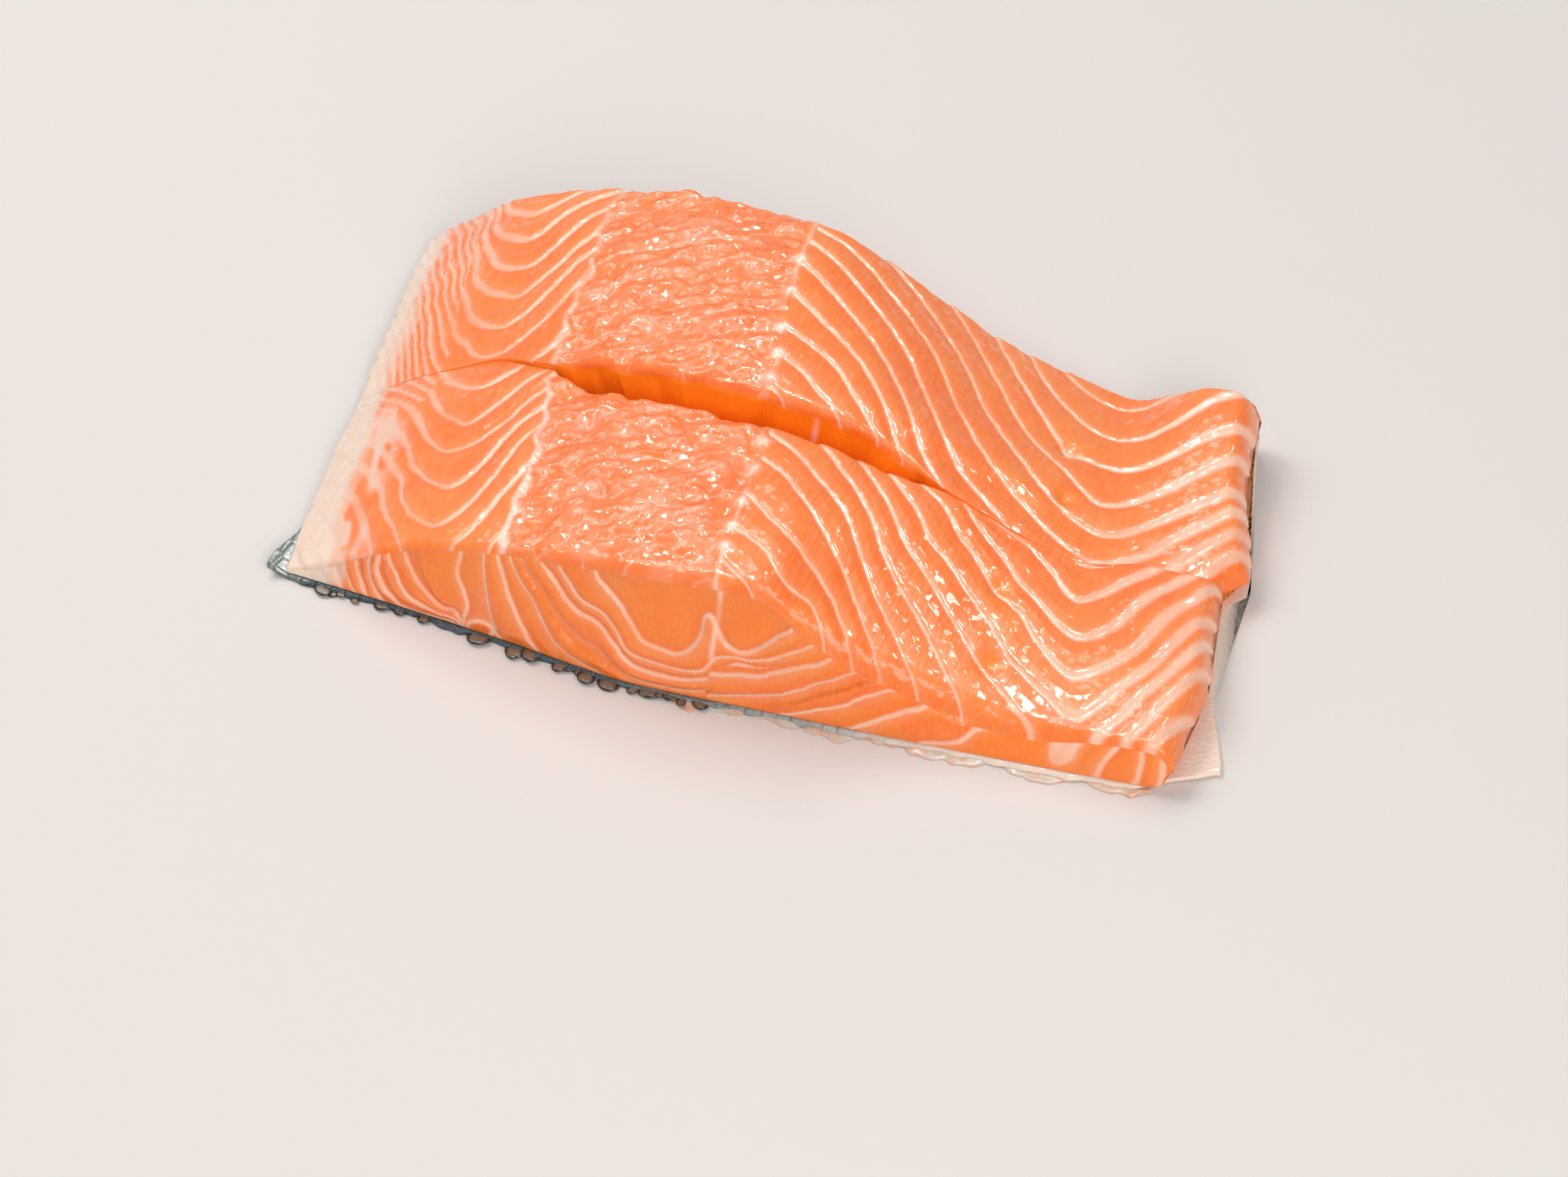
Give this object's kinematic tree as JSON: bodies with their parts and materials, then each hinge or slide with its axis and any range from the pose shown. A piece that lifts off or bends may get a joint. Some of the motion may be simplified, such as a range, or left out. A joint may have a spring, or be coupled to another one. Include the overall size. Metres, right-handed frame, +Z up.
{
  "type": "raw salmon fillet",
  "caption": "Raw salmon fillet cut straight across at both ends and again in the middle, lying flesh side up on its skin, thick loin on one side and thin belly flap on the other.",
  "frame": {"origin": "centre of the footprint, on the surface that the skin lies on", "axes": "+X across the fillet from the fish's back to its belly, +Y along the fish away from the front cut, +Z up out of the flesh side"},
  "size_m": [0.238, 0.1308, 0.0404],
  "materials": {
    "salmon_flesh": "wet, soft and slightly translucent, orange with pale seams of fat",
    "salmon_skin": "wet scaled skin, dark blue-grey at the back and silver at the belly"
  },
  "bodies": {
    "root": {"front_flesh": "salmon_flesh", "back_flesh": "salmon_flesh", "skin": "salmon_skin"}
  },
  "joints": []
}
